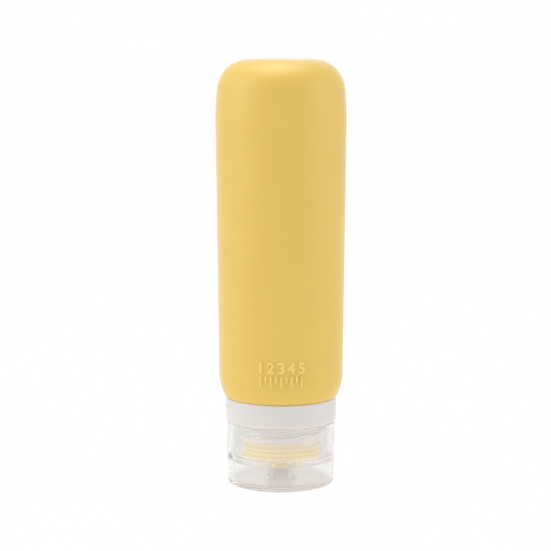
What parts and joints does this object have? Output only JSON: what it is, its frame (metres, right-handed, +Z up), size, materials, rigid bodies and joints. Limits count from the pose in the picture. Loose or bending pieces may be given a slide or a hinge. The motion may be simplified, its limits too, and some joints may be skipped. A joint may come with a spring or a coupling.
{
  "type": "travel squeeze bottle",
  "caption": "Soft silicone travel squeeze bottle standing on a clear screw cap with a hinged flip lid, nozzle and slit valve.",
  "frame": {"origin": "centre of the closed lid's flat face, on which the bottle stands", "axes": "+Z up along the bottle's axis, from the lid to the bottle's flat base; +X to the right in the picture, +Y away from the camera"},
  "size_m": [0.04, 0.04, 0.1305],
  "materials": {
    "yellow_silicone": "matte",
    "white_collar": "satin",
    "clear_cap": "clear gloss",
    "valve_silicone": "matte",
    "clear_ring": "clear gloss"
  },
  "bodies": {
    "bottle": {"bottle_body": "yellow_silicone", "neck_collar": "white_collar"},
    "seal": {"cap_gasket": "valve_silicone"},
    "cap": {"cap_base": "clear_cap", "slit_valve": "valve_silicone", "valve_retainer": "clear_ring"},
    "lid": {"flip_lid": "clear_cap"}
  },
  "joints": [
    {"name": "cap_lift", "type": "slide", "parent": "bottle", "child": "seal", "axis": [0, 0, -1], "range_m": [0, 0.0096]},
    {"name": "cap_turn", "type": "hinge", "parent": "seal", "child": "cap", "pos_m": [0, 0, 0.0142], "axis": [0, 0, -1], "range_deg": [0, 1080]},
    {"name": "lid_open", "type": "hinge", "parent": "cap", "child": "lid", "pos_m": [0.01359, 0.00634, 0.00815], "axis": [0.4226, -0.9063, 0], "range_deg": [0, 110]}
  ],
  "couplings": [
    {"joint": "cap_lift", "follows": "cap_turn", "m_per_rad": 0.0005093}
  ]
}
